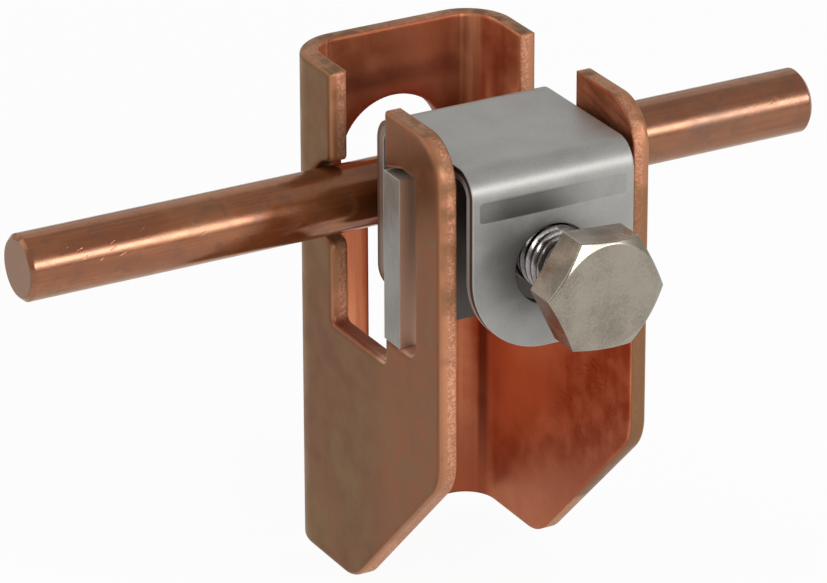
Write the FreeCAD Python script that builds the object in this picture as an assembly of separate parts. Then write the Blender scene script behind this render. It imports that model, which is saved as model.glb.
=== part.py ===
import FreeCAD
import Part

import math
import os

# Wall conductor holder: a folded copper bracket, open to the front, that carries a round
# conductor in the rear of two open-topped slots. A bolt in a loose nut plate pushes a bent
# clip back against the conductor.
# Millimetres. X runs along the conductor, +Y points to the wall, +Z is up. The origin is the
# centre of the bracket's wall face.

Vector = FreeCAD.Vector

# Bracket: overall sizes and the fold
bracket_width = 27.6
bracket_depth = 38.0
bracket_height = 63.0
copper_sheet = 2.2
inner_bend_radius = 4.0

# Bracket: the slots that let the conductor in from above, one in each side
rear_flange_depth = 12.0
slot_width = 13.0
slot_depth = 31.5
slot_floor_radius = 0.8

# Bracket: the seats for the conductor, cut in the rear flanges' front edges
seat_radius = 5.0
seat_height = 15.25
seat_mouth_radius = 1.0

# Bracket: ears in front of the slots, with a notch for the nut plate in each. A slanted lip
# at the notch's mouth keeps the plate in.
ear_corner_radius = 5.5
notch_depth = 7.1
notch_floor_height = 3.35
notch_floor_corner_radius = 1.8
notch_top_corner_radius = 0.5
notch_lip_drop = 1.2
notch_lip_reach = 3.9

# Bracket: the slanted lower front corners
slant_rise = 21.0
slant_angle = 45.0
slant_corner_radius = 6.0

# Bracket: the edges that the punch drew in, on the outside of the sheet
rollover_radius = 0.6

# Bracket: the keyhole for the wall screw
keyhole_radius = 7.1
keyhole_height = 15.7
keyhole_slot_width = 7.1
keyhole_slot_reach = 27.0

# Conductor
conductor_diameter = 8.0
conductor_left_length = 53.5
conductor_right_length = 51.0
conductor_end_chamfer = 0.5
conductor_play = 0.02

# Nut plate
nut_plate_thickness = 3.7
nut_plate_height = 21.0
nut_plate_end_length = 3.6
nut_plate_relief = 2.0
nut_plate_play = 0.2

# Clip: one bent strap over the nut plate
clip_sheet = 1.5
clip_side_gap = 1.1
clip_depth = 22.4
clip_top_height = 28.05
clip_bend_radius = 1.7
clip_conductor_gap = 2.4
clip_front_leg_height = 5.5
clip_front_corner_radius = 9.6
clip_rear_leg_height = 4.7
clip_rear_corner_radius = 4.5
clip_hole_radius = 4.9

# Bolt: hexagon head, right-hand thread of 1.25 mm pitch, shown here at its outer diameter
bolt_diameter = 8.0
bolt_length = 28.0
bolt_height = 16.2
head_across_flats = 13.0
head_height = 5.3
head_face_diameter = 12.35
head_chamfer_angle = 30.0
head_bearing_diameter = 11.9
head_bearing_height = 0.4
head_turn = 116.0
bolt_end_chamfer = 1.0
bolt_tip_gap = 0.05
thread_play = 0.05
clip_hang = 0.1

# A point this near the bracket's outer skin counts as on it
skin_tolerance = 0.001

# Places worked out from the sizes
half_width = bracket_width / 2
bracket_top = bracket_height / 2
bracket_bottom = -bracket_height / 2
slot_rear = -rear_flange_depth
slot_front = slot_rear - slot_width
slot_floor = bracket_top - slot_depth
notch_floor = slot_floor + notch_floor_height
nut_plate_top = notch_floor + nut_plate_height
notch_mouth_top = nut_plate_top + nut_plate_play
notch_top = notch_mouth_top + notch_lip_drop
seat_centre_z = slot_floor + seat_height
conductor_radius = conductor_diameter / 2
conductor_y = slot_rear + seat_radius - conductor_radius - conductor_play
clip_rear = conductor_y - conductor_radius - clip_conductor_gap
clip_front = clip_rear - clip_depth
clip_width = bracket_width - 2 * (copper_sheet + clip_side_gap)
bolt_z = slot_floor + bolt_height
bolt_radius = bolt_diameter / 2
bolt_tip = clip_rear - clip_sheet - bolt_tip_gap
bolt_seat = bolt_tip - bolt_length
clip_hole_z = bolt_z - (clip_hole_radius - bolt_radius - clip_hang)

# An end made of two equal rounds keeps this much of its radius, so that a short flat stays
# between them and no edge has zero length.
end_round_share = 0.999


def rounded_wire(corners, place):
    """A closed wire through corners (a, b, radius), each rounded by its radius. The function
    place turns a and b into a point in space."""
    edges = []
    count = len(corners)
    arcs = []
    for index in range(count):
        before = Vector(*corners[index - 1][:2], 0)
        at = Vector(*corners[index][:2], 0)
        after = Vector(*corners[(index + 1) % count][:2], 0)
        radius = corners[index][2]
        to_before = (before - at).normalize()
        to_after = (after - at).normalize()
        half_angle = to_before.getAngle(to_after) / 2
        if radius <= 0:
            arcs.append((at, None, at))
            continue
        reach = radius / math.tan(half_angle)
        inward = (to_before + to_after).normalize()
        centre = at + inward * (radius / math.sin(half_angle))
        middle = centre - inward * radius
        arcs.append((at + to_before * reach, middle, at + to_after * reach))
    for index in range(count):
        start, middle, end = arcs[index]
        if middle is not None:
            edges.append(Part.Arc(place(start), place(middle), place(end)).toShape())
        following = arcs[(index + 1) % count][0]
        if (following - end).Length > 1e-7:
            edges.append(Part.LineSegment(place(end), place(following)).toShape())
    return Part.Wire(edges)


def prism(corners, place, direction):
    """The rounded outline as a face, pushed along direction."""
    return Part.Face(rounded_wire(corners, place)).extrude(direction)


def in_plan(z_at):
    """Places an outline of X and Y at a height."""
    return lambda p: Vector(p.x, p.y, z_at)


def in_side(x_at):
    """Places an outline of Y and Z at an X."""
    return lambda p: Vector(x_at, p.x, p.y)


def in_front(y_at):
    """Places an outline of X and Z at a Y."""
    return lambda p: Vector(p.x, y_at, p.y)


def rod(radius, start, end):
    """A round bar from start to end."""
    return Part.makeCylinder(radius, (end - start).Length, start, end - start)


def folded_channel():
    """The bare channel: a flat back with two sides, bent round inner_bend_radius."""
    front = -bracket_depth
    outer_radius = inner_bend_radius + copper_sheet
    inner_half = half_width - copper_sheet
    section = [
        (-half_width, front, 0),
        (-half_width, 0, outer_radius),
        (half_width, 0, outer_radius),
        (half_width, front, 0),
        (inner_half, front, 0),
        (inner_half, -copper_sheet, inner_bend_radius),
        (-inner_half, -copper_sheet, inner_bend_radius),
        (-inner_half, front, 0),
    ]
    return prism(section, in_plan(bracket_bottom), Vector(0, 0, bracket_height))


def side_outline():
    """The outline of a side, seen along X: rear flange, slot, ear with notch, slanted foot."""
    front = -bracket_depth
    notch_front = slot_front - notch_depth
    lip_front = slot_front - notch_lip_reach
    slant_top = bracket_bottom + slant_rise
    slant_foot = front + slant_rise / math.tan(math.radians(slant_angle))
    return [
        (0, bracket_top, 0),
        (slot_rear, bracket_top, 0),
        (slot_rear, slot_floor, slot_floor_radius),
        (slot_front, slot_floor, slot_floor_radius),
        (slot_front, notch_floor, 0),
        (notch_front, notch_floor, notch_floor_corner_radius),
        (notch_front, notch_top, notch_top_corner_radius),
        (lip_front, notch_top, notch_top_corner_radius),
        (slot_front, notch_mouth_top, 0),
        (slot_front, bracket_top, 0),
        (front, bracket_top, ear_corner_radius),
        (front, slant_top, slant_corner_radius),
        (slant_foot, bracket_bottom, slant_corner_radius),
        (0, bracket_bottom, 0),
    ]


def seat_cutter():
    """The round seats, with their mouths eased where they meet the flanges' front edges."""
    left = Vector(-bracket_width, slot_rear, seat_centre_z)
    right = Vector(bracket_width, slot_rear, seat_centre_z)
    cutter = rod(seat_radius, left, right)
    for side in (-1, 1):
        # The eased corner: a square at the mouth, less a round bar tangent to the flange's
        # front edge and to the seat.
        spread = math.sqrt((seat_radius + seat_mouth_radius) ** 2 - seat_mouth_radius ** 2)
        bar_z = seat_centre_z + side * spread
        bar_y = slot_rear + seat_mouth_radius
        touch = seat_radius / (seat_radius + seat_mouth_radius)
        touch_y = slot_rear + (bar_y - slot_rear) * touch
        touch_z = seat_centre_z + side * spread * touch
        corner = [
            (slot_rear - seat_mouth_radius, bar_z, 0),
            (bar_y, bar_z, 0),
            (touch_y, touch_z, 0),
            (slot_rear - seat_mouth_radius, touch_z, 0),
        ]
        easing = prism(corner, in_side(-bracket_width), Vector(2 * bracket_width, 0, 0))
        bar_start = Vector(-bracket_width, bar_y, bar_z)
        bar_end = Vector(bracket_width, bar_y, bar_z)
        bar = rod(seat_mouth_radius, bar_start, bar_end)
        cutter = cutter.fuse(easing.cut(bar))
    return cutter


def keyhole_cutter():
    """A round hole with a narrower slot down from it, through the back."""
    depth = Vector(0, 3 * copper_sheet, 0)
    start = -2 * copper_sheet
    keyhole_z = slot_floor + keyhole_height
    half_slot = keyhole_slot_width / 2
    slot_end = keyhole_z - keyhole_slot_reach
    slot = [
        (-half_slot, keyhole_z, 0),
        (half_slot, keyhole_z, 0),
        (half_slot, slot_end - half_slot, half_slot * end_round_share),
        (-half_slot, slot_end - half_slot, half_slot * end_round_share),
    ]
    centre = Vector(0, start, keyhole_z)
    return rod(keyhole_radius, centre, centre + depth).fuse(prism(slot, in_front(start), depth))


def punched_edges(shape):
    """The edges between the channel's outer skin and its cut edges, which lie round the whole
    outline. The seams between the flat sides, the bends and the back are left out."""
    outer_radius = inner_bend_radius + copper_sheet
    bend_x = half_width - outer_radius

    def on_skin(point):
        across = abs(point.x)
        if point.y < -outer_radius:
            return abs(across - half_width) < skin_tolerance
        if across < bend_x:
            return abs(point.y) < skin_tolerance
        from_bend = math.hypot(across - bend_x, point.y + outer_radius)
        return abs(from_bend - outer_radius) < skin_tolerance

    def is_seam(edge):
        ends = edge.Vertexes
        upright = (ends[0].Point - ends[-1].Point).normalize()
        at_bend = abs(abs(ends[0].X) - half_width) < skin_tolerance
        at_bend = at_bend and abs(ends[0].Y + outer_radius) < skin_tolerance
        at_back = abs(abs(ends[0].X) - bend_x) < skin_tolerance
        at_back = at_back and abs(ends[0].Y) < skin_tolerance
        return abs(upright.z) > 0.5 and (at_bend or at_back)

    chosen = []
    for edge in shape.Edges:
        middle = edge.valueAt((edge.FirstParameter + edge.LastParameter) / 2)
        if on_skin(middle) and not is_seam(edge):
            chosen.append(edge)
    return chosen


def make_bracket():
    """The channel, its sides cut to the outline and the seats, its punched edges drawn in."""
    sides = prism(side_outline(), in_side(-half_width), Vector(bracket_width, 0, 0))
    shape = folded_channel().common(sides).cut(seat_cutter())
    shape = shape.makeFillet(rollover_radius, punched_edges(shape))
    return shape.cut(keyhole_cutter())


def make_conductor():
    """A straight round bar with chamfered ends."""
    left = Vector(-conductor_left_length, conductor_y, seat_centre_z)
    right = Vector(conductor_right_length, conductor_y, seat_centre_z)
    bar = rod(conductor_radius, left, right)
    rims = [edge for edge in bar.Edges if isinstance(edge.Curve, Part.Circle)]
    return bar.makeChamfer(conductor_end_chamfer, rims)


def make_nut_plate():
    """A bar through both notches. Between the ears its lower edge is set back."""
    relief_half = half_width - nut_plate_end_length
    outline = [
        (-half_width, notch_floor, 0),
        (-relief_half, notch_floor, 0),
        (-relief_half, notch_floor + nut_plate_relief, 0),
        (relief_half, notch_floor + nut_plate_relief, 0),
        (relief_half, notch_floor, 0),
        (half_width, notch_floor, 0),
        (half_width, nut_plate_top, 0),
        (-half_width, nut_plate_top, 0),
    ]
    bar = prism(outline, in_front(slot_front), Vector(0, -nut_plate_thickness, 0))
    start = Vector(0, slot_front + nut_plate_thickness, bolt_z)
    end = Vector(0, slot_front - 2 * nut_plate_thickness, bolt_z)
    return bar.cut(rod(bolt_radius + thread_play, start, end))


def make_clip():
    """A strap bent to an inverted U, with rounded ends. Its front leg has a clearance hole."""
    half_clip = clip_width / 2
    top = slot_floor + clip_top_height
    front_low = slot_floor + clip_front_leg_height
    rear_low = slot_floor + clip_rear_leg_height
    lowest = min(front_low, rear_low)
    outer_radius = clip_bend_radius + clip_sheet
    inner_top = top - clip_sheet
    inner_front = clip_front + clip_sheet
    inner_rear = clip_rear - clip_sheet
    strap = [
        (clip_rear, lowest, 0),
        (clip_rear, top, outer_radius),
        (clip_front, top, outer_radius),
        (clip_front, lowest, 0),
        (inner_front, lowest, 0),
        (inner_front, inner_top, clip_bend_radius),
        (inner_rear, inner_top, clip_bend_radius),
        (inner_rear, lowest, 0),
    ]
    front_leg = [
        (-half_clip, top, 0),
        (half_clip, top, 0),
        (half_clip, front_low, clip_front_corner_radius),
        (-half_clip, front_low, clip_front_corner_radius),
    ]
    rear_leg = [
        (-half_clip, top, 0),
        (half_clip, top, 0),
        (half_clip, rear_low, clip_rear_corner_radius),
        (-half_clip, rear_low, clip_rear_corner_radius),
    ]
    middle = (clip_front + clip_rear) / 2
    shape = prism(strap, in_side(-half_clip), Vector(clip_width, 0, 0))
    front_half = prism(front_leg, in_front(clip_front), Vector(0, middle - clip_front, 0))
    rear_half = prism(rear_leg, in_front(middle), Vector(0, clip_rear - middle, 0))
    shape = shape.common(front_half.fuse(rear_half))
    hole_start = Vector(0, clip_front - clip_sheet, clip_hole_z)
    hole_end = Vector(0, clip_front + 2 * clip_sheet, clip_hole_z)
    return shape.cut(rod(clip_hole_radius, hole_start, hole_end)).removeSplitter()


def make_bolt():
    """A hexagon head with a chamfered front and a raised bearing face, on a chamfered shank."""
    flat_radius = head_across_flats / 2
    corner_radius = flat_radius / math.cos(math.pi / 6)
    face_radius = head_face_diameter / 2
    drop = (corner_radius - face_radius) * math.tan(math.radians(head_chamfer_angle))
    front = bolt_seat - head_height
    underside = bolt_seat - head_bearing_height
    hexagon = []
    for index in range(6):
        angle = math.radians(head_turn) + index * math.pi / 3
        across = corner_radius * math.cos(angle)
        hexagon.append((across, bolt_z + corner_radius * math.sin(angle), 0))
    head = prism(hexagon, in_front(front), Vector(0, underside - front, 0))
    envelope = [
        (0, front),
        (face_radius, front),
        (corner_radius, front + drop),
        (corner_radius, underside),
        (0, underside),
    ]
    turned_part = [
        (0, underside),
        (head_bearing_diameter / 2, underside),
        (head_bearing_diameter / 2, bolt_seat),
        (bolt_radius, bolt_seat),
        (bolt_radius, bolt_tip - bolt_end_chamfer),
        (bolt_radius - bolt_end_chamfer, bolt_tip),
        (0, bolt_tip),
    ]
    return head.common(turned(envelope)).fuse(turned(turned_part)).removeSplitter()


def turned(profile):
    """A profile of radius and Y, turned about the bolt's axis."""
    points = [Vector(radius, y, bolt_z) for radius, y in profile]
    face = Part.Face(Part.makePolygon(points + points[:1]))
    return face.revolve(Vector(0, 0, bolt_z), Vector(0, 1, 0), 360)


pieces = {
    "bracket": make_bracket,
    "conductor": make_conductor,
    "nut_plate": make_nut_plate,
    "clamp_clip": make_clip,
    "clamp_bolt": make_bolt,
}

os.makedirs("parts", exist_ok=True)
for name, make in pieces.items():
    shape = make()
    solid = shape.Solids[0]
    solid.exportStep(os.path.join("parts", name + ".step"))
    box = solid.BoundBox
    sides = (box.XMin, box.XMax, box.YMin, box.YMax, box.ZMin, box.ZMax)
    state = "valid" if solid.isValid() else "NOT VALID"
    print(name, len(shape.Solids), state, round(solid.Volume, 1), [round(side, 2) for side in sides])
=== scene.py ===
import bmesh
import bpy
import math
import numpy as np
from mathutils import Matrix, Vector


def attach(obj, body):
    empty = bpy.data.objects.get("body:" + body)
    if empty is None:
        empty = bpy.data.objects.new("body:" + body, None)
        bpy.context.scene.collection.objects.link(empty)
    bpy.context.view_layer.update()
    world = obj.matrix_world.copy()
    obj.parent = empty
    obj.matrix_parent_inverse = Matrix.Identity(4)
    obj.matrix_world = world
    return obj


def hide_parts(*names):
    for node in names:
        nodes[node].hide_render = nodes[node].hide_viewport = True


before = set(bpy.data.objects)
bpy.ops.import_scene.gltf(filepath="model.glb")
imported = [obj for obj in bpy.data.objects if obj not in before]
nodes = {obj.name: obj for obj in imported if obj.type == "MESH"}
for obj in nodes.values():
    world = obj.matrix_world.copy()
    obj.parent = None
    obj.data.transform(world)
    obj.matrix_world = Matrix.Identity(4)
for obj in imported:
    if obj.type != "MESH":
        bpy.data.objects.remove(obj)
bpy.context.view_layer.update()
scene = bpy.context.scene
mm = 0.001


# small helpers for node trees

def colour(r, g, b):
    # a colour as seen on screen, 0 to 255, turned into the linear values that sockets take
    seen = np.array([r, g, b]) / 255
    linear = np.where(seen <= 0.04045, seen / 12.92, ((seen + 0.055) / 1.055) ** 2.4)
    return (*[float(v) for v in linear], 1.0)


def put(tree, kind, values, **settings):
    # one node: a socket among the values is linked, anything else is typed in
    node = tree.nodes.new(kind)
    for key, value in settings.items():
        setattr(node, key, value)
    for key, value in values.items():
        if isinstance(value, bpy.types.NodeSocket):
            tree.links.new(value, node.inputs[key])
        else:
            node.inputs[key].default_value = value
    return node


def calc(tree, operation, *numbers):
    # one math node, or a row of them where there are more than two numbers
    result = put(tree, "ShaderNodeMath", dict(enumerate(numbers[:2])), operation=operation).outputs[0]
    for number in numbers[2:]:
        result = calc(tree, operation, result, number)
    return result


def offBy(tree, value, middle):
    # how far the value lies from the middle, to either side
    return calc(tree, "ABSOLUTE", calc(tree, "SUBTRACT", value, middle))


def beyond(tree, value, limit):
    # how far the value lies past the limit, and 0 before it
    return calc(tree, "MAXIMUM", calc(tree, "SUBTRACT", value, limit), 0)


def longSide(tree, first, second):
    # the long side of a right triangle, from its two short ones
    squares = calc(tree, "ADD", calc(tree, "POWER", first, 2), calc(tree, "POWER", second, 2))
    return calc(tree, "SQRT", squares)


def plus(tree, value, other, part):
    # the value plus a part of the other one
    return calc(tree, "ADD", value, calc(tree, "MULTIPLY", other, part))


def mean(tree, first, share, second):
    # the first one counts by its share, the second by the rest
    return plus(tree, calc(tree, "MULTIPLY", first, share), second, 1 - share)


def remap(tree, value, low, high, start=0.0, end=1.0):
    # value runs from low to high, the result smoothly from start to end
    values = {"Value": value, "From Min": low, "From Max": high, "To Min": start, "To Max": end}
    return put(tree, "ShaderNodeMapRange", values, interpolation_type="SMOOTHSTEP").outputs["Result"]


def blendColours(tree, share, first, second):
    node = put(tree, "ShaderNodeMix", {0: share, 6: first, 7: second}, data_type="RGBA")
    return node.outputs[2]


def place(tree, fields, steps):
    # A soft-edged place on a piece, 0 to 1, is the product of its steps. A step names a field, such as x
    # or a noise, and says from where to where it runs and from which share to which.
    share = 1.0
    for field, *step in steps:
        share = calc(tree, "MULTIPLY", share, remap(tree, fields[field], *step))
    return share


def layered(tree, base, fields, s, layers, within=1.0):
    # each layer is a tone's name and the places where it lies, and where they meet the stronger counts
    for tone, *places in s[layers]:
        share = 0.0
        for steps in places:
            share = calc(tree, "MAXIMUM", share, place(tree, fields, steps))
        base = blendColours(tree, calc(tree, "MULTIPLY", share, within), base, s[tone])
    return base


def noise(tree, coords, scale, detail=4.0, roughness=0.55, distortion=0.0, turn=None, stretch=None):
    # turn is an axis and an angle, and a stretch below 1 draws the noise out into streaks along that axis
    if turn:
        axis, angle = turn
        coords = put(tree, "ShaderNodeVectorRotate", {"Vector": coords, "Angle": angle},
                     rotation_type=axis).outputs[0]
    if stretch:
        coords = put(tree, "ShaderNodeMapping", {"Vector": coords, "Scale": stretch}).outputs[0]
    values = {"Vector": coords, "Scale": scale, "Detail": detail, "Roughness": roughness,
              "Distortion": distortion}
    return put(tree, "ShaderNodeTexNoise", values).outputs[0]


def bump(tree, height, strength, distance, below):
    values = {"Height": height, "Strength": strength, "Distance": distance, "Normal": below}
    return put(tree, "ShaderNodeBump", values).outputs[0]


def wornEdges(tree, radius, leaning=0.82, inLine=0.995):
    # 1 near an edge, 0 on open faces: how far the normal of a rounded copy leans off the real one
    rounded = put(tree, "ShaderNodeBevel", {"Radius": radius}, samples=6).outputs[0]
    plain = tree.nodes.new("ShaderNodeNewGeometry").outputs["Normal"]
    same = put(tree, "ShaderNodeVectorMath", {0: rounded, 1: plain}, operation="DOT_PRODUCT").outputs["Value"]
    return remap(tree, same, leaning, inLine, 1, 0), rounded


def paintedCornerShade(tree, base, reach, darkestShade, buried=0.1, clear=0.9):
    # painted shade: the colour darkens in gaps and corners, by how much of the surroundings is blocked
    free = put(tree, "ShaderNodeAmbientOcclusion", {"Distance": reach}, samples=6).outputs["AO"]
    share = remap(tree, free, buried, clear, darkestShade, 1)
    return put(tree, "ShaderNodeVectorMath", {0: base, "Scale": share}, operation="SCALE").outputs[0]


def emptyTree(owner):
    owner.use_nodes = True
    owner.node_tree.nodes.clear()
    return owner.node_tree


def startMaterial(name, noises):
    # the fields that a finish goes by: the place on the piece, and each of its noises by its name
    material = bpy.data.materials.new(name)
    tree = emptyTree(material)
    coords = tree.nodes.new("ShaderNodeTexCoord").outputs["Object"]
    fields = dict(zip("xyz", put(tree, "ShaderNodeSeparateXYZ", {"Vector": coords}).outputs))
    for key, values in noises.items():
        fields[key] = noise(tree, coords, **values)
    return material, tree, fields


def endMaterial(tree, base, rough, normal, metal=1.0, ior=1.5, tint=(1, 1, 1, 1)):
    # tarnish and pickling scatter light, so most finishes here are only partly metallic
    shader = put(tree, "ShaderNodeBsdfPrincipled", {"Base Color": base, "Roughness": rough, "Normal": normal,
                                                    "Metallic": metal, "IOR": ior, "Specular Tint": tint})
    put(tree, "ShaderNodeOutputMaterial", {"Surface": shader.outputs[0]})


# folded copper sheet

copperSheet = {
    # The sheet's own shape tells its two faces and its cut edges apart. In the steps below, through runs
    # from 0 on the inner face to 1 on the outer one, and besideX and besideZ are x and z without a sign.
    "halfFlatBack": 7.6 * mm,                # where the back's flat ends and the bends begin
    "bendCentreDepth": 6.2 * mm,
    "innerBend": 4.0 * mm,
    "sheet": 2.2 * mm,
    "innerFaceEnds": (0.02 * mm, 0.12 * mm),     # how deep the inner face's tone reaches
    "cutFace": [("through", 0.86, 0.99, 1, 0)],
    "tornFace": [("through", 0.45, 0.62, 1, 0)],
    "outerTone": (0.9, 0.995),               # where the outside's tone begins on a cut edge
    "insideSlot": [("y", -12.5 * mm, -11.5 * mm, 1, 0), ("y", -26 * mm, -24.6 * mm)],

    # tones of the outside, the inside and the cut edges
    "outside": (colour(113, 74, 53), colour(114, 84, 57)),
    "outsideFront": colour(134, 84, 59),
    "tarnish": colour(102, 76, 60),
    "glancing": colour(255, 240, 225),
    "inside": (colour(200, 106, 66), colour(222, 138, 96)),
    "insideClean": colour(248, 162, 114),
    "insideDull": colour(138, 76, 52),
    "insideRed": colour(150, 72, 43),
    "insidePale": colour(238, 164, 120),
    "creaseHighlight": colour(242, 162, 112),
    "bandDark": colour(98, 42, 28),
    "ringRed": colour(172, 66, 40),
    "earStreak": colour(92, 50, 33),
    "pit": colour(96, 46, 28),
    "scuff": colour(92, 58, 42),
    "torn": (colour(180, 120, 90), colour(212, 154, 122)),
    "burnished": colour(184, 124, 91),
    "rollover": colour(172, 116, 82),
    "edgeTarnish": colour(116, 82, 52),
    "keyholeWall": colour(112, 54, 36),
    "floorRed": colour(134, 54, 38),
    "rubbedPale": colour(250, 206, 176),

    "noises": {
        "cloud": {"scale": 120, "detail": 3, "roughness": 0.5},
        "patch": {"scale": 300, "detail": 5, "distortion": 0.3},
        "rolled": {"scale": 800, "stretch": (1, 1, 0.05)},
        "grain": {"scale": 3800, "detail": 2, "roughness": 0.5},
        "pits": {"scale": 1500, "detail": 2, "roughness": 0.5},
        "scratches": {"scale": 2600, "detail": 3, "roughness": 0.6, "stretch": (0.25, 0.25, 1)},
        "handling": {"scale": 95, "detail": 2, "roughness": 0.5},
        "streaks": {"scale": 1000, "roughness": 0.6, "turn": ("X_AXIS", -0.2), "stretch": (1, 0.12, 1)},
        "staining": {"scale": 110, "detail": 3, "roughness": 0.6, "distortion": 0.5},
    },
    "contrast": (0.36, 0.64),                # the part of a noise over which two tones blend
    "tornContrast": (0.4, 0.64),
    "patchShare": 0.8,                       # of the inside's pattern, the rest is rolling lines

    # lines that the layers go by, and how far the patches push their outlines about
    "foldLine": 9.0 * mm,                    # from the middle of the back, as is the next
    "grooveLine": 11.05 * mm,
    "bandHeight": 26 * mm,
    "keyholeHeight": 15.7 * mm,
    "bandUneven": 1.5 * mm,
    "dullUneven": 14 * mm,
    "cornerUneven": 8 * mm,
    "cornerSlant": 0.45,

    # the outside is tarnished in patches, and another tone lies on its front
    "outerLayers": [
        ("tarnish", [("patch", 0.46, 0.7, 0, 0.25)]),
        ("outsideFront", [("y", -27 * mm, -20 * mm, 1, 0), ("patch", 0.42, 0.62, 0.35, 1)]),
    ],
    # pits and scratches on the inside
    "wearLayers": [
        ("pit", [("pits", 0.68, 0.74, 0, 0.4)]),
        ("scuff", [("scratches", 0.56, 0.66), ("handling", 0.5, 0.62, 0, 0.42),
                   ("y", -9 * mm, -5 * mm, 1, 0.25)]),
    ],
    # the crease that the folding tool left where the back meets each bend, with a painted highlight along it
    "crease": [("offFoldLine", 0.06 * mm, 0.36 * mm, 1, 0), ("z", 0, 12 * mm, 0.35, 1)],
    "innerLayers": [
        # painted light: lighter low on the sides
        ("insideClean", [("besideX", 10.9 * mm, 11.4 * mm), ("y", -27 * mm, -16 * mm),
                         ("z", 2 * mm, 8 * mm, 0.85, 0)]),
        # darker high up on the back, and painted shade low on it
        ("insideDull", [("unevenHeight", 8 * mm, 20 * mm), ("besideX", 8 * mm, 11 * mm, 0.8, 0)],
                       [("z", -31 * mm, -14 * mm, 1, 0.6), ("besideX", 10.2 * mm, 11.6 * mm, 1, 0)]),
        # painted shade: a dark line low in each bend; a painted reflection: a dark band above the keyhole;
        # and a redder ring round it
        ("bandDark", [("offGroove", 0.15 * mm, 0.55 * mm, 0.75, 0), ("z", 2 * mm, 12 * mm, 1, 0)]),
        ("bandDark", [("offBand", 0.3 * mm, 2 * mm, 0.5, 0), ("besideX", 8 * mm, 9 * mm, 1, 0)]),
        ("ringRed", [("fromKeyhole", 7.1 * mm, 10 * mm, 0.7, 0), ("y", -4 * mm, -3 * mm)]),
        # red by the slanted lower corners
        ("insideRed", [("slantedHeight", -29 * mm, -18 * mm, 0.8, 0)]),
        # painted highlights in the upper bends, and painted light on the back's left beside the keyhole's
        # slot
        ("insidePale", [("besideX", 9 * mm, 9.8 * mm), ("besideX", 10.4 * mm, 11.3 * mm, 1, 0.35),
                        ("z", 8 * mm, 14 * mm), ("y", -20 * mm, -13 * mm), ("rolled", 0.38, 0.6, 0.45, 0.9)],
                       [("x", -6 * mm, -2 * mm, 1, 0), ("z", 9 * mm, 12 * mm, 1, 0),
                        ("z", -16 * mm, -6 * mm), ("rolled", 0.38, 0.6, 0.45, 0.9)]),
        # dark streaks on the ears
        ("earStreak", [("z", 19 * mm, 24 * mm), ("y", -26 * mm, -24 * mm, 1, 0),
                       ("streaks", 0.3, 0.7, 0.2, 0.68)]),
    ],
    # a cut edge is torn near the inside, then burnished, then rolled over near the outside
    "edgeLayers": [
        ("burnished", [("through", 0.45, 0.62)]),
        ("rollover", [("through", 0.66, 0.86)]),
    ],
    # it is tarnished in blotches, below, on the right and on the top rim, but less inside the slots
    "tarnishLayers": [
        ("edgeTarnish", [("staining", 0.44, 0.6, 0, 0.7)],
                        [("z", -10 * mm, 6 * mm, 0.28, 0)],
                        [("x", 0, 8 * mm), ("z", 0, 26 * mm, 0.9, 0.2)],
                        [("z", 31.2 * mm, 31.45 * mm), ("patch", 0.4, 0.6, 0.45, 1)]),
    ],
    "tarnishEnds": [("through", 0.8, 1, 1, 0)],
    "slotCleaner": 0.7,
    "cutLayers": [
        ("keyholeWall", [("besideX", 7.2 * mm, 7.6 * mm, 0.8, 0), ("besideZ", 24 * mm, 26 * mm, 1, 0),
                         ("y", -2.4 * mm, -2.3 * mm)]),
        # painted shade at the back of the slot's floor
        ("floorRed", [("besideZ", 0.5 * mm, 1 * mm, 1, 0), ("y", -12.5 * mm, -11.5 * mm, 1, 0),
                      ("y", -26 * mm, -25.4 * mm), ("y", -22 * mm, -19 * mm, 0, 0.6)]),
        # painted light on the slot's floor in front and on the notch's floor
        ("rubbedPale", [("besideZ", 0.5 * mm, 1 * mm, 1, 0), ("y", -12.5 * mm, -11.5 * mm, 1, 0),
                        ("y", -26 * mm, -25.4 * mm), ("y", -24 * mm, -22 * mm, 0.8, 0)],
                       [("z", 4.4 * mm, 5.3 * mm, 1, 0), ("z", 2.4 * mm, 2.9 * mm),
                        ("y", -34 * mm, -33 * mm), ("y", -28.6 * mm, -27.6 * mm, 0.85, 0)]),
    ],

    "metal": (0.8, 0.88, 0.55),              # inside, outside, cut edges
    "rough": [("patch", 0.3, 0.7, 0.36, 0.46)],
    "tornRougher": 0.16,
    "wornReach": 0.7 * mm,
    "wornShare": 0.6,
    "shadeReach": 1.6 * mm,
    "darkestShade": (0.5, 0.85),                  # on the faces, on the cut edges
    "grainBump": (0.05, 0.02 * mm),          # strength and height, as are the next three
    "patchBump": (0.05, 0.1 * mm),
    "creaseBump": (0.6, 0.06 * mm),
    "tornBump": (0.4, 0.05 * mm),
}


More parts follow.
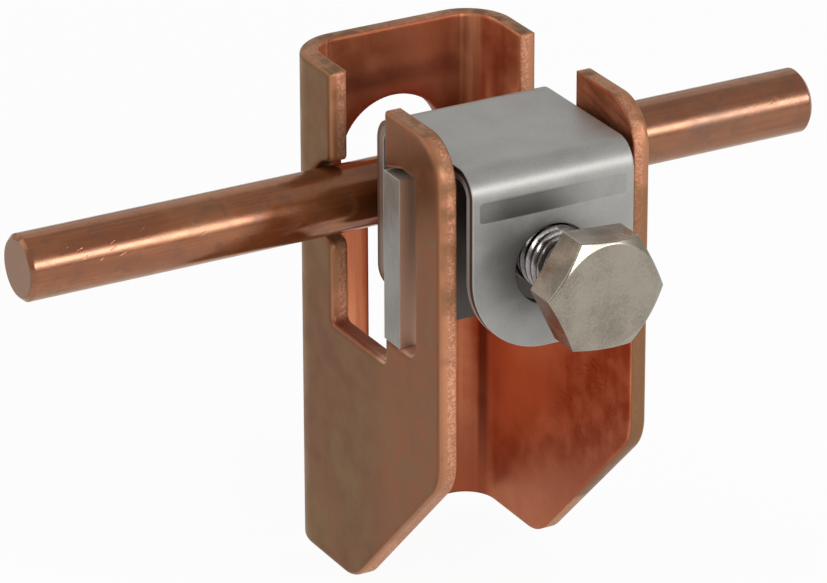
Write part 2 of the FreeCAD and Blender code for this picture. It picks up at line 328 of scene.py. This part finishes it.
def copperSheetFinish(s):
    material, tree, fields = startMaterial("copperSheetFinish", s["noises"])
    x, y, z, patch, grain = (fields[key] for key in ("x", "y", "z", "patch", "grain"))
    beside = fields["besideX"] = calc(tree, "ABSOLUTE", x)
    fields["besideZ"] = calc(tree, "ABSOLUTE", z)
    worn, rounded = wornEdges(tree, s["wornReach"])

    # depth through the sheet: 0 on the channel's inside, the sheet's thickness on its outside
    reach = longSide(tree, beyond(tree, beside, s["halfFlatBack"]), beyond(tree, y, -s["bendCentreDepth"]))
    depth = calc(tree, "SUBTRACT", reach, s["innerBend"])
    offInside = remap(tree, depth, *s["innerFaceEnds"])
    fields["through"] = calc(tree, "DIVIDE", depth, s["sheet"])
    onCut = calc(tree, "MULTIPLY", offInside, place(tree, fields, s["cutFace"]))
    onTorn = calc(tree, "MULTIPLY", offInside, place(tree, fields, s["tornFace"]))

    # distances that the layers go by, some made uneven by the patches
    aboveKeyhole = calc(tree, "SUBTRACT", z, s["keyholeHeight"])
    fields["offFoldLine"] = offBy(tree, beside, s["foldLine"])
    fields["offGroove"] = offBy(tree, beside, s["grooveLine"])
    fields["offBand"] = offBy(tree, plus(tree, z, patch, s["bandUneven"]), s["bandHeight"])
    fields["fromKeyhole"] = plus(tree, longSide(tree, x, aboveKeyhole), patch, s["bandUneven"])
    fields["unevenHeight"] = plus(tree, z, patch, s["dullUneven"])
    fields["slantedHeight"] = plus(tree, plus(tree, z, patch, s["cornerUneven"]), y, s["cornerSlant"])

    # the faces: a tarnished brown outside, a cleaner orange inside
    outside = blendColours(tree, remap(tree, fields["cloud"], *s["contrast"]), *s["outside"])
    outside = layered(tree, outside, fields, s, "outerLayers")
    outside = blendColours(tree, calc(tree, "MULTIPLY", worn, s["wornShare"]), outside, s["rollover"])
    pattern = mean(tree, patch, s["patchShare"], fields["rolled"])
    inside = blendColours(tree, remap(tree, pattern, *s["contrast"]), *s["inside"])
    inside = layered(tree, inside, fields, s, "wearLayers")
    crease = place(tree, fields, s["crease"])
    # painted highlight along the crease
    inside = blendColours(tree, crease, inside, s["creaseHighlight"])
    inside = layered(tree, inside, fields, s, "innerLayers")

    # the cut edges
    edge = blendColours(tree, remap(tree, grain, *s["tornContrast"]), *s["torn"])
    edge = layered(tree, edge, fields, s, "edgeLayers")
    edge = blendColours(tree, remap(tree, fields["through"], *s["outerTone"]), edge, outside)
    inSlot = place(tree, fields, s["insideSlot"])
    outOfSlot = calc(tree, "SUBTRACT", 1, calc(tree, "MULTIPLY", inSlot, s["slotCleaner"]))
    tarnishable = calc(tree, "MULTIPLY", outOfSlot, place(tree, fields, s["tarnishEnds"]))
    edge = layered(tree, edge, fields, s, "tarnishLayers", tarnishable)
    edge = layered(tree, edge, fields, s, "cutLayers", onCut)
    base = blendColours(tree, offInside, inside, edge)
    # painted shade darkens the colour in gaps and corners
    base = paintedCornerShade(tree, base, s["shadeReach"], remap(tree, onCut, 0, 1, *s["darkestShade"]))

    rough = plus(tree, place(tree, fields, s["rough"]), onTorn, s["tornRougher"])
    onInside = calc(tree, "SUBTRACT", 1, offInside)
    normal = bump(tree, grain, *s["grainBump"], rounded)
    normal = bump(tree, patch, *s["patchBump"], normal)
    normal = bump(tree, calc(tree, "MULTIPLY", crease, onInside), *s["creaseBump"], normal)
    normal = bump(tree, calc(tree, "MULTIPLY", grain, onTorn), *s["tornBump"], normal)
    insideMetal, outsideMetal, cutMetal = s["metal"]
    metal = remap(tree, offInside, 0, 1, insideMetal, outsideMetal)
    metal = plus(tree, metal, onCut, cutMetal - outsideMetal)
    endMaterial(tree, base, rough, normal, metal, tint=s["glancing"])
    return material


# round conductor

conductor = {
    "dark": colour(128, 67, 33),
    "bright": colour(150, 88, 48),
    "stain": colour(96, 60, 45),
    "endFace": colour(116, 70, 44),
    "glancing": colour(255, 242, 225),
    "metal": 0.55,
    "ior": 2.3,                              # the thin brown oxide on the copper reflects this much

    "noises": {
        "drawn": {"scale": 2600, "roughness": 0.6, "stretch": (0.02, 1, 1)},
        "cloud": {"scale": 170, "distortion": 0.4, "stretch": (0.5, 1, 1)},
        "blotch": {"scale": 420, "roughness": 0.6, "distortion": 0.5},
        "specks": {"scale": 1300, "detail": 3, "roughness": 0.6},
        "nicks": {"scale": 1900, "detail": 2, "roughness": 0.5, "turn": ("Y_AXIS", 0.5),
                  "stretch": (0.12, 1, 1)},
        "grain": {"scale": 3600, "detail": 3, "roughness": 0.6},
    },
    "contrast": (0.4, 0.6),
    "cloudShare": 0.7,                       # of the bar's pattern, the rest is drawing lines

    "layers": [
        ("stain", [("cloud", 0.54, 0.7, 0, 0.6)]),
        ("stain", [("blotch", 0.52, 0.68, 0, 0.45)]),
        ("stain", [("x", 10 * mm, 20 * mm, 0, 0.3)]),    # darker to the right of the holder
        ("stain", [("specks", 0.7, 0.76, 0, 0.6)]),
        ("endFace", [("x", -53.48 * mm, -53.35 * mm, 1, 0)], [("x", 50.85 * mm, 50.98 * mm)]),
    ],
    "nicked": [("nicks", 0.66, 0.72), ("cloud", 0.4, 0.6, 1, 0.2)],
    "nickShare": 0.5,

    "rough": (0.36, 0.64, 0.14, 0.27),       # over the mean of cloud and blotch
    "cloudRough": 0.5,
    "wornReach": 0.3 * mm,
    "shadeReach": 1.6 * mm,
    "darkestShade": 0.45,
    "grainBump": (0.12, 0.02 * mm),          # strength and height, as are the next two
    "drawnBump": (0.05, 0.02 * mm),
    "nickBump": (0.5, -0.03 * mm),
}


def conductorFinish(s):
    material, tree, fields = startMaterial("drawnConductorFinish", s["noises"])
    cloud, drawn = fields["cloud"], fields["drawn"]
    pattern = mean(tree, cloud, s["cloudShare"], drawn)
    base = blendColours(tree, remap(tree, pattern, *s["contrast"]), s["dark"], s["bright"])
    base = layered(tree, base, fields, s, "layers")
    nicked = place(tree, fields, s["nicked"])
    base = blendColours(tree, calc(tree, "MULTIPLY", nicked, s["nickShare"]), base, s["endFace"])
    # painted shade darkens the colour in gaps and corners
    base = paintedCornerShade(tree, base, s["shadeReach"], s["darkestShade"])
    rough = remap(tree, mean(tree, cloud, s["cloudRough"], fields["blotch"]), *s["rough"])
    rounded = wornEdges(tree, s["wornReach"])[1]
    normal = bump(tree, fields["grain"], *s["grainBump"], rounded)
    normal = bump(tree, drawn, *s["drawnBump"], normal)
    normal = bump(tree, nicked, *s["nickBump"], normal)
    endMaterial(tree, base, rough, normal, s["metal"], s["ior"], s["glancing"])
    return material


# steel strap, bar and bolt

steelFinishes = {
    # darkestShade: how much of the colour the painted corner shade leaves in a gap, uneven: how strong the
    # slow waves are,
    # polished: how much of the edge tone, wear with a painted highlight, worn edges show, stretch: below 1
    # where the steel is brushed
    "clipSteel": {"dark": colour(147, 146, 142), "bright": colour(159, 158, 154), "stretch": (1, 1, 1),
                  "rough": (0.4, 0.45), "bump": 0.03, "edge": 0.25 * mm, "shadeReach": 4.0 * mm, "darkestShade": 0.35,
                  "polished": 0.55, "edgeWearAndHighlight": colour(214, 213, 209), "uneven": 0.0, "metal": 0.5},
    "plateSteel": {"dark": colour(132, 128, 122), "bright": colour(154, 149, 142), "stretch": (1, 1, 0.08),
                   "rough": (0.4, 0.48), "bump": 0.05, "edge": 0.25 * mm, "shadeReach": 1.0 * mm, "darkestShade": 0.6,
                   "polished": 0.5, "edgeWearAndHighlight": colour(205, 201, 196), "uneven": 0.02, "metal": 0.6},
    "boltSteel": {"dark": colour(134, 126, 113), "bright": colour(160, 152, 138), "stretch": (1, 1, 1),
                  "rough": (0.17, 0.3), "bump": 0.05, "edge": 0.15 * mm, "shadeReach": 2.5 * mm, "darkestShade": 0.12,
                  "polished": 0.45, "edgeWearAndHighlight": colour(214, 208, 196), "uneven": 0.12, "metal": 1.0},
    "threadSteel": {"dark": colour(120, 114, 112), "bright": colour(168, 162, 160), "stretch": (1, 1, 1),
                    "rough": (0.12, 0.18), "bump": 0.04, "edge": 0.08 * mm, "shadeReach": 2.2 * mm,
                    "darkestShade": 0.03, "polished": 0.0, "edgeWearAndHighlight": colour(200, 196, 190), "uneven": 0.0,
                    "metal": 1.0},
}

steelPattern = {
    # what the four steels share
    "cloud": {"scale": 220, "roughness": 0.5, "distortion": 0.3},
    "grain": {"scale": 4200, "detail": 3, "roughness": 0.6},
    "cloudShare": 0.6,
    "contrast": (0.36, 0.64),
    "roughContrast": (0.3, 0.7),
    "unevenHeight": 0.2 * mm,
    "grainHeight": 0.02 * mm,
}

clipMarkAndShade = {
    # the press mark below the strap's front bend: a shallow band, with painted shade on it for the dark
    # reflection it shows, darkest left of its middle
    "behindFront": (-39.1 * mm, -39.0 * mm, 1, 0),       # it ends just behind the front face
    "ends": (-9.6 * mm, 9.6 * mm),
    "heights": (22.1 * mm, 24.65 * mm),
    "corner": 0.5 * mm,
    "rim": (0.35 * mm, 0.6 * mm, 1, 0),
    "shade": [("x", -9.6 * mm, -5.2 * mm, 0.6, 1), ("x", -2.6 * mm, 5.184 * mm, 1, 0.17),
              ("z", 22.1 * mm, 24.65 * mm, 1, 0.7)],
    "tone": colour(78, 76, 70),
    "rough": 0.42,
    "depth": 0.02 * mm,
}

clipHoleShade = {
    # the strap's hole: painted shade on its punched wall, and a painted shadow of the bolt head round it
    "height": 15.4 * mm,
    "wallEnds": (4.92 * mm, 5.0 * mm, 0.9, 0),           # two radii and the shares there
    "headShadowEnds": (3.4 * mm, 7.4 * mm, 0.62, 0),
    "headShadowLean": 0.45,                         # more of it to the left
    "headShadowUneven": 3 * mm,
    "tone": colour(62, 56, 50),
}

clipCut = {
    # the strap's sheared edges: dark and torn near its outside, brighter near its inside
    "middle": -28.52 * mm,
    "halfFlat": 8.0 * mm,
    "bendHeight": 24.85 * mm,
    "outerBend": 3.2 * mm,
    "betweenFaces": [("depth", 0.04 * mm, 0.12 * mm), ("depth", 1.38 * mm, 1.46 * mm, 1, 0)],
    "torn": colour(92, 80, 72),
    "sheared": colour(228, 226, 218),
    "tornEnds": (0.525 * mm, 0.825 * mm),
    "rear": (-24 * mm, -20 * mm, 0, 0.85),   # the rear leg's edge is browner
    "rearTone": colour(122, 90, 72),
}

platePaintedLight = {
    # a painted copper reflection on the bar's ends in the notches, painted shade between the sides, and
    # painted light on the ends' tops
    "ends": (10.8 * mm, 11.3 * mm, 0, 0.8),
    "shadedMiddle": (9.0 * mm, 10.0 * mm, 0.85, 0),
    "facing": (0.6, 0.8),
    "tone": colour(188, 146, 120),
    "shadeTone": colour(62, 58, 54),
    "top": colour(205, 198, 184),
    "rough": 0.62,
}


def pressMark(tree, fields, s):
    # 1 inside a rectangle with round corners, on the strap's front face only
    outside = []
    for field, (low, high) in (("x", s["ends"]), ("z", s["heights"])):
        fromMiddle = offBy(tree, fields[field], (low + high) / 2)
        outside.append(beyond(tree, fromMiddle, (high - low) / 2 - s["corner"]))
    near = remap(tree, longSide(tree, *outside), *s["rim"])
    return calc(tree, "MULTIPLY", near, remap(tree, fields["y"], *s["behindFront"]))


def markedAndShaded(tree, base, rough, normal, fields, s):
    pressed = pressMark(tree, fields, s)
    # painted shade on the mark, standing in for its dark reflection
    shade = calc(tree, "MULTIPLY", pressed, place(tree, fields, s["shade"]))
    base = blendColours(tree, shade, base, s["tone"])
    rough = plus(tree, rough, calc(tree, "SUBTRACT", s["rough"], rough), pressed)
    return base, rough, bump(tree, calc(tree, "MULTIPLY", pressed, -1), 1.0, s["depth"], normal)


def cutEdge(tree, base, fields, s):
    # depth through the strap: 0 on its outside, the sheet's thickness on its inside
    along = beyond(tree, offBy(tree, fields["y"], s["middle"]), s["halfFlat"])
    up = beyond(tree, fields["z"], s["bendHeight"])
    depth = calc(tree, "SUBTRACT", s["outerBend"], longSide(tree, along, up))
    tone = blendColours(tree, remap(tree, depth, *s["tornEnds"]), s["torn"], s["sheared"])
    tone = blendColours(tree, remap(tree, fields["y"], *s["rear"]), tone, s["rearTone"])
    return blendColours(tree, place(tree, {"depth": depth}, s["betweenFaces"]), base, tone)


def paintedHoleShade(tree, base, fields, s):
    x = fields["x"]
    offAxis = longSide(tree, x, calc(tree, "SUBTRACT", fields["z"], s["height"]))
    # painted shade on the hole's wall
    base = blendColours(tree, remap(tree, offAxis, *s["wallEnds"]), base, s["tone"])
    # painted shadow of the bolt head, leaning to the left of the hole
    leaning = plus(tree, offAxis, plus(tree, x, fields["cloud"], s["headShadowUneven"]), s["headShadowLean"])
    return blendColours(tree, remap(tree, leaning, *s["headShadowEnds"]), base, s["tone"])


def paintedPlateLight(tree, base, rough, fields, s):
    # which way a face looks tells the bar's front and back, where the copper reflection is painted, from its
    # top, where the light is painted
    facing = tree.nodes.new("ShaderNodeNewGeometry").outputs["Normal"]
    frontwards, upwards = put(tree, "ShaderNodeSeparateXYZ", {"Vector": facing}).outputs[1:]
    beside = calc(tree, "ABSOLUTE", fields["x"])
    atEnds = remap(tree, beside, *s["ends"])
    # painted shade in the middle, inside the strap
    base = blendColours(tree, remap(tree, beside, *s["shadedMiddle"]), base, s["shadeTone"])
    litTop = calc(tree, "MULTIPLY", remap(tree, upwards, *s["facing"]), atEnds)
    # painted light on the ends' top faces
    base = blendColours(tree, litTop, base, s["top"])
    # painted copper reflection on the ends' front and back, which are also rougher there
    copperReflection = calc(tree, "MULTIPLY", remap(tree, calc(tree, "ABSOLUTE", frontwards), *s["facing"]), atEnds)
    base = blendColours(tree, copperReflection, base, s["tone"])
    return base, plus(tree, rough, calc(tree, "SUBTRACT", s["rough"], rough), copperReflection)


def steelFinish(name, mark=None, hole=None, rub=None, cut=None):
    s, shared = steelFinishes[name], steelPattern
    noises = {"cloud": shared["cloud"], "grain": {**shared["grain"], "stretch": s["stretch"]}}
    material, tree, fields = startMaterial(name, noises)
    cloud, grain = fields["cloud"], fields["grain"]
    pattern = mean(tree, cloud, shared["cloudShare"], grain)
    base = blendColours(tree, remap(tree, pattern, *shared["contrast"]), s["dark"], s["bright"])
    rough = remap(tree, cloud, *shared["roughContrast"], *s["rough"])
    worn, normal = wornEdges(tree, s["edge"])
    # worn edges, lighter, with a painted highlight along them
    base = blendColours(tree, calc(tree, "MULTIPLY", worn, s["polished"]), base, s["edgeWearAndHighlight"])
    normal = bump(tree, cloud, s["uneven"], shared["unevenHeight"], normal)
    if cut:
        base = cutEdge(tree, base, fields, cut)
    if mark:
        base, rough, normal = markedAndShaded(tree, base, rough, normal, fields, mark)
    if hole:
        base = paintedHoleShade(tree, base, fields, hole)
    if rub:
        base, rough = paintedPlateLight(tree, base, rough, fields, rub)
    # painted shade darkens the colour in gaps and corners
    base = paintedCornerShade(tree, base, s["shadeReach"], s["darkestShade"])
    normal = bump(tree, grain, s["bump"], shared["grainHeight"], normal)
    endMaterial(tree, base, rough, normal, s["metal"])
    return material


# bolt: hexagon head and a right-hand thread

bolt = {
    "axisHeight": 16.2 * mm,
    "front": -52.27 * mm,                    # along Y, as are the seat under the head and the tip
    "seat": -46.97 * mm,
    "tip": -18.97 * mm,
    "acrossFlats": 13.0 * mm,
    "faceRadius": 6.175 * mm,
    "chamfer": 30.0,                         # degrees, as is the turn
    "bearingRadius": 5.95 * mm,
    "bearingHeight": 0.4 * mm,
    "turn": 116.0,
    "softEdge": 0.12 * mm,
    "faceRings": (0.35, 0.7, 1.0),           # shares of the face's radius at which it has a ring of points
    "sideRings": (0.5, 1.0),                 # the same across the chamfer and down the flats
    "radius": 4.0 * mm,
    "pitch": 1.25 * mm,
    "threadDepth": 0.72 * mm,
    "crest": 0.2,                            # the share of the profile that is cut flat at the crest
    "flank": 0.66,                           # the share that slopes, and the rest is flat at the root
    "neck": 3.5 * mm,
    "neckTurns": 0.8,
    "tipRadius": 3.0 * mm,
    "stepsRound": 96,
    "stepsPerTurn": 12,
}

meshing = {
    "merge": 1e-7,                           # points closer than this are one
    "sharpOver": 32,                         # degrees, as is the next
    "bevelOver": 25,
    "bevelSegments": 2,
}


def gridPiece(name, points, body, material, bevel=0.0):
    # points is a grid of rows and columns in metres; equal neighbours are merged afterwards
    rows, columns = points.shape[:2]
    index = np.arange(rows * columns).reshape(rows, columns)
    faces = np.stack([index[:-1, :-1], index[:-1, 1:], index[1:, 1:], index[1:, :-1]], axis=-1).reshape(-1, 4)
    mesh = bpy.data.meshes.new(name)
    mesh.from_pydata(points.reshape(-1, 3).tolist(), [], faces.tolist())
    piece = bpy.data.objects.new(name, mesh)
    scene.collection.objects.link(piece)
    work = bmesh.new()
    work.from_mesh(mesh)
    bmesh.ops.remove_doubles(work, verts=work.verts, dist=meshing["merge"])
    bmesh.ops.dissolve_degenerate(work, edges=work.edges, dist=meshing["merge"])
    bmesh.ops.recalc_face_normals(work, faces=work.faces)
    work.to_mesh(mesh)
    work.free()
    mesh.polygons.foreach_set("use_smooth", np.ones(len(mesh.polygons), bool))
    mesh.set_sharp_from_angle(angle=math.radians(meshing["sharpOver"]))
    mesh.materials.append(material)
    if bevel:
        mod = piece.modifiers.new("softEdges", "BEVEL")
        mod.width, mod.segments = bevel, meshing["bevelSegments"]
        mod.limit_method, mod.angle_limit = "ANGLE", math.radians(meshing["bevelOver"])
        mod.harden_normals = True
    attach(piece, body)
    return piece


def boltHeadGrid(s):
    # A radial profile is carried round the axis. Its outer radius at angle a is half the width across
    # flats over the cosine of a's distance from the nearest flat's middle, which draws the hexagon.
    angle = math.radians(s["turn"]) + np.linspace(0, 2 * np.pi, s["stepsRound"] + 1)
    fromFlat = (angle - math.radians(s["turn"])) % (np.pi / 3) - np.pi / 6
    hexagon = s["acrossFlats"] / 2 / np.cos(fromFlat)
    drop = (hexagon - s["faceRadius"]) * math.tan(math.radians(s["chamfer"]))
    under = s["seat"] - s["bearingHeight"]
    one = np.ones_like(angle)
    inner, front = s["faceRadius"], s["front"]
    rings = [(0 * one, front * one)]
    rings += [(inner * share * one, front * one) for share in s["faceRings"]]
    rings += [(inner + (hexagon - inner) * share, front + drop * share) for share in s["sideRings"]]
    rings += [(hexagon, front + drop + (under - front - drop) * share) for share in s["sideRings"]]
    rings += [(s["bearingRadius"] * one, under * one), (s["bearingRadius"] * one, s["seat"] * one),
              (0 * one, s["seat"] * one)]
    radius = np.array([r for r, _ in rings])
    depth = np.array([d for _, d in rings])
    return np.stack([radius * np.cos(angle), depth, s["axisHeight"] + radius * np.sin(angle)], axis=-1)


def threadGrid(s):
    # Rows follow the helix: a row's place along the bolt is its height less the pitch times the share
    # of a turn. The radius is the thread's profile, a clipped triangle wave of the height, faded into
    # the neck under the head and cut by the cone of the tip.
    share = np.linspace(0, 1, s["stepsRound"] + 1)
    length = s["tip"] - s["seat"]
    turns = length / s["pitch"] + 2
    height = np.arange(0, turns, 1 / s["stepsPerTurn"])[:, None]
    along = (height - 1 - share[None, :]) * s["pitch"]
    wave = np.abs((height % 1) * 2 - 1)
    cut = np.clip((wave - s["crest"]) / s["flank"], 0, 1) * np.ones_like(along)
    radius = s["radius"] - s["threadDepth"] * cut
    start = np.clip(along / s["pitch"] - s["neckTurns"], 0, 1)
    radius = s["neck"] + (radius - s["neck"]) * start * start * (3 - 2 * start)
    along = np.clip(along, 0, length)
    radius = np.minimum(radius, s["tipRadius"] + (length - along))
    angle = 2 * np.pi * share[None, :] + math.radians(s["turn"])
    x, z = radius * np.cos(angle), s["axisHeight"] + radius * np.sin(angle)
    shank = np.stack([x, s["seat"] + along, z], axis=-1)
    root, cap = shank[:1].copy(), shank[-1:].copy()
    for closed in (root, cap):
        closed[..., 0], closed[..., 2] = 0, s["axisHeight"]
    return np.concatenate([root, shank, cap])


# stage, light and camera

stage = {
    "floor": -34.0 * mm,
    "size": 6.0,                             # metres
    "pale": colour(232, 232, 230),
    "seenWhite": 0.94,                       # the camera sees this much plain white on the floor
    "surround": 0.48,                        # brightness of the plain world
}

lamps = {
    # place in metres, width, height, brightness of its face
    "frontSoftbox": ((0.14, -0.92, 0.36), 1.1, 0.5, 1.6),
    "frontStrip": ((0.14, -0.9, 0.36), 1.1, 0.215, 6.9),
    "backLeftSoftbox": ((-0.85, 0.5, 0.35), 0.6, 0.6, 1.6),
    "backSoftbox": ((0.25, 1.2, 0.75), 2.2, 1.0, 0.45),
}
lampsAim = (0, -0.02, 0)

viewpoint = {
    "place": (-0.290473, -0.533868, 0.267288),
    "right": (0.87516, -0.48383, -0.00273),
    "up": (0.19912, 0.35503, 0.9134),
    "lens": 240.25,
    "sensor": 36.0,
    "clip": (0.01, 20),
}


def makeStage(s):
    half, level = s["size"] / 2, s["floor"]
    corners = [(-half, -half, level), (half, -half, level), (half, half, level), (-half, half, level)]
    mesh = bpy.data.meshes.new("floor")
    mesh.from_pydata(corners, [], [(0, 1, 2, 3)])
    floor = bpy.data.objects.new("floor", mesh)
    scene.collection.objects.link(floor)
    material = bpy.data.materials.new("paleFloor")
    tree = emptyTree(material)
    rays = tree.nodes.new("ShaderNodeLightPath").outputs
    seen = calc(tree, "MAXIMUM", rays["Is Camera Ray"], rays["Is Glossy Ray"], rays["Is Transmission Ray"])
    matt = put(tree, "ShaderNodeBsdfDiffuse", {"Color": s["pale"]}).outputs[0]
    white = put(tree, "ShaderNodeEmission", {"Color": (1, 1, 1, 1), "Strength": 1.0}).outputs[0]
    share = calc(tree, "MULTIPLY", seen, s["seenWhite"])
    surface = put(tree, "ShaderNodeMixShader", {0: share, 1: matt, 2: white}).outputs[0]
    put(tree, "ShaderNodeOutputMaterial", {"Surface": surface})
    mesh.materials.append(material)

    world = bpy.data.worlds.new("studio")
    scene.world = world
    tree = emptyTree(world)
    sky = put(tree, "ShaderNodeBackground", {"Color": (1, 1, 1, 1), "Strength": s["surround"]}).outputs[0]
    put(tree, "ShaderNodeOutputWorld", {"Surface": sky})


def makeLamp(name, spot, width, height, glow):
    # a lamp's power is its face's brightness times pi times its area
    data = bpy.data.lights.new(name, "AREA")
    data.shape, data.size, data.size_y = "RECTANGLE", width, height
    data.energy = glow * math.pi * width * height
    lamp = bpy.data.objects.new(name, data)
    scene.collection.objects.link(lamp)
    lamp.location = spot
    lamp.rotation_euler = (Vector(lampsAim) - Vector(spot)).to_track_quat("-Z", "Y").to_euler()


def makeCamera(s):
    data = bpy.data.cameras.new("camera")
    data.lens, data.sensor_width, data.sensor_fit = s["lens"], s["sensor"], "HORIZONTAL"
    data.clip_start, data.clip_end = s["clip"]
    camera = bpy.data.objects.new("camera", data)
    scene.collection.objects.link(camera)
    right, up = Vector(s["right"]).normalized(), Vector(s["up"]).normalized()
    turned = Matrix((right, up, right.cross(up))).transposed()
    camera.matrix_world = Matrix.Translation(s["place"]) @ turned.to_4x4()
    scene.camera = camera


# putting it together

finishes = {
    "bracket": copperSheetFinish(copperSheet),
    "conductor": conductorFinish(conductor),
    "nut_plate": steelFinish("plateSteel", rub=platePaintedLight),
    "clamp_clip": steelFinish("clipSteel", clipMarkAndShade, clipHoleShade, cut=clipCut),
    "clamp_bolt": steelFinish("boltSteel"),
}
for name, material in finishes.items():
    nodes[name].data.materials.clear()
    nodes[name].data.materials.append(material)
print("finishes: set on", len(finishes), "CAD nodes")

head = gridPiece("boltHead", boltHeadGrid(bolt), "bolt", finishes["clamp_bolt"],
                 bolt["softEdge"])
thread = gridPiece("boltThread", threadGrid(bolt), "bolt", steelFinish("threadSteel"))
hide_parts("clamp_bolt")
print("bolt:", len(head.data.polygons), "faces in the head,", len(thread.data.polygons), "in the thread")

makeStage(stage)
for name, (spot, width, height, glow) in lamps.items():
    makeLamp(name, spot, width, height, glow)
makeCamera(viewpoint)
scene.view_settings.view_transform = "Standard"
print("stage, lamps and camera: made")
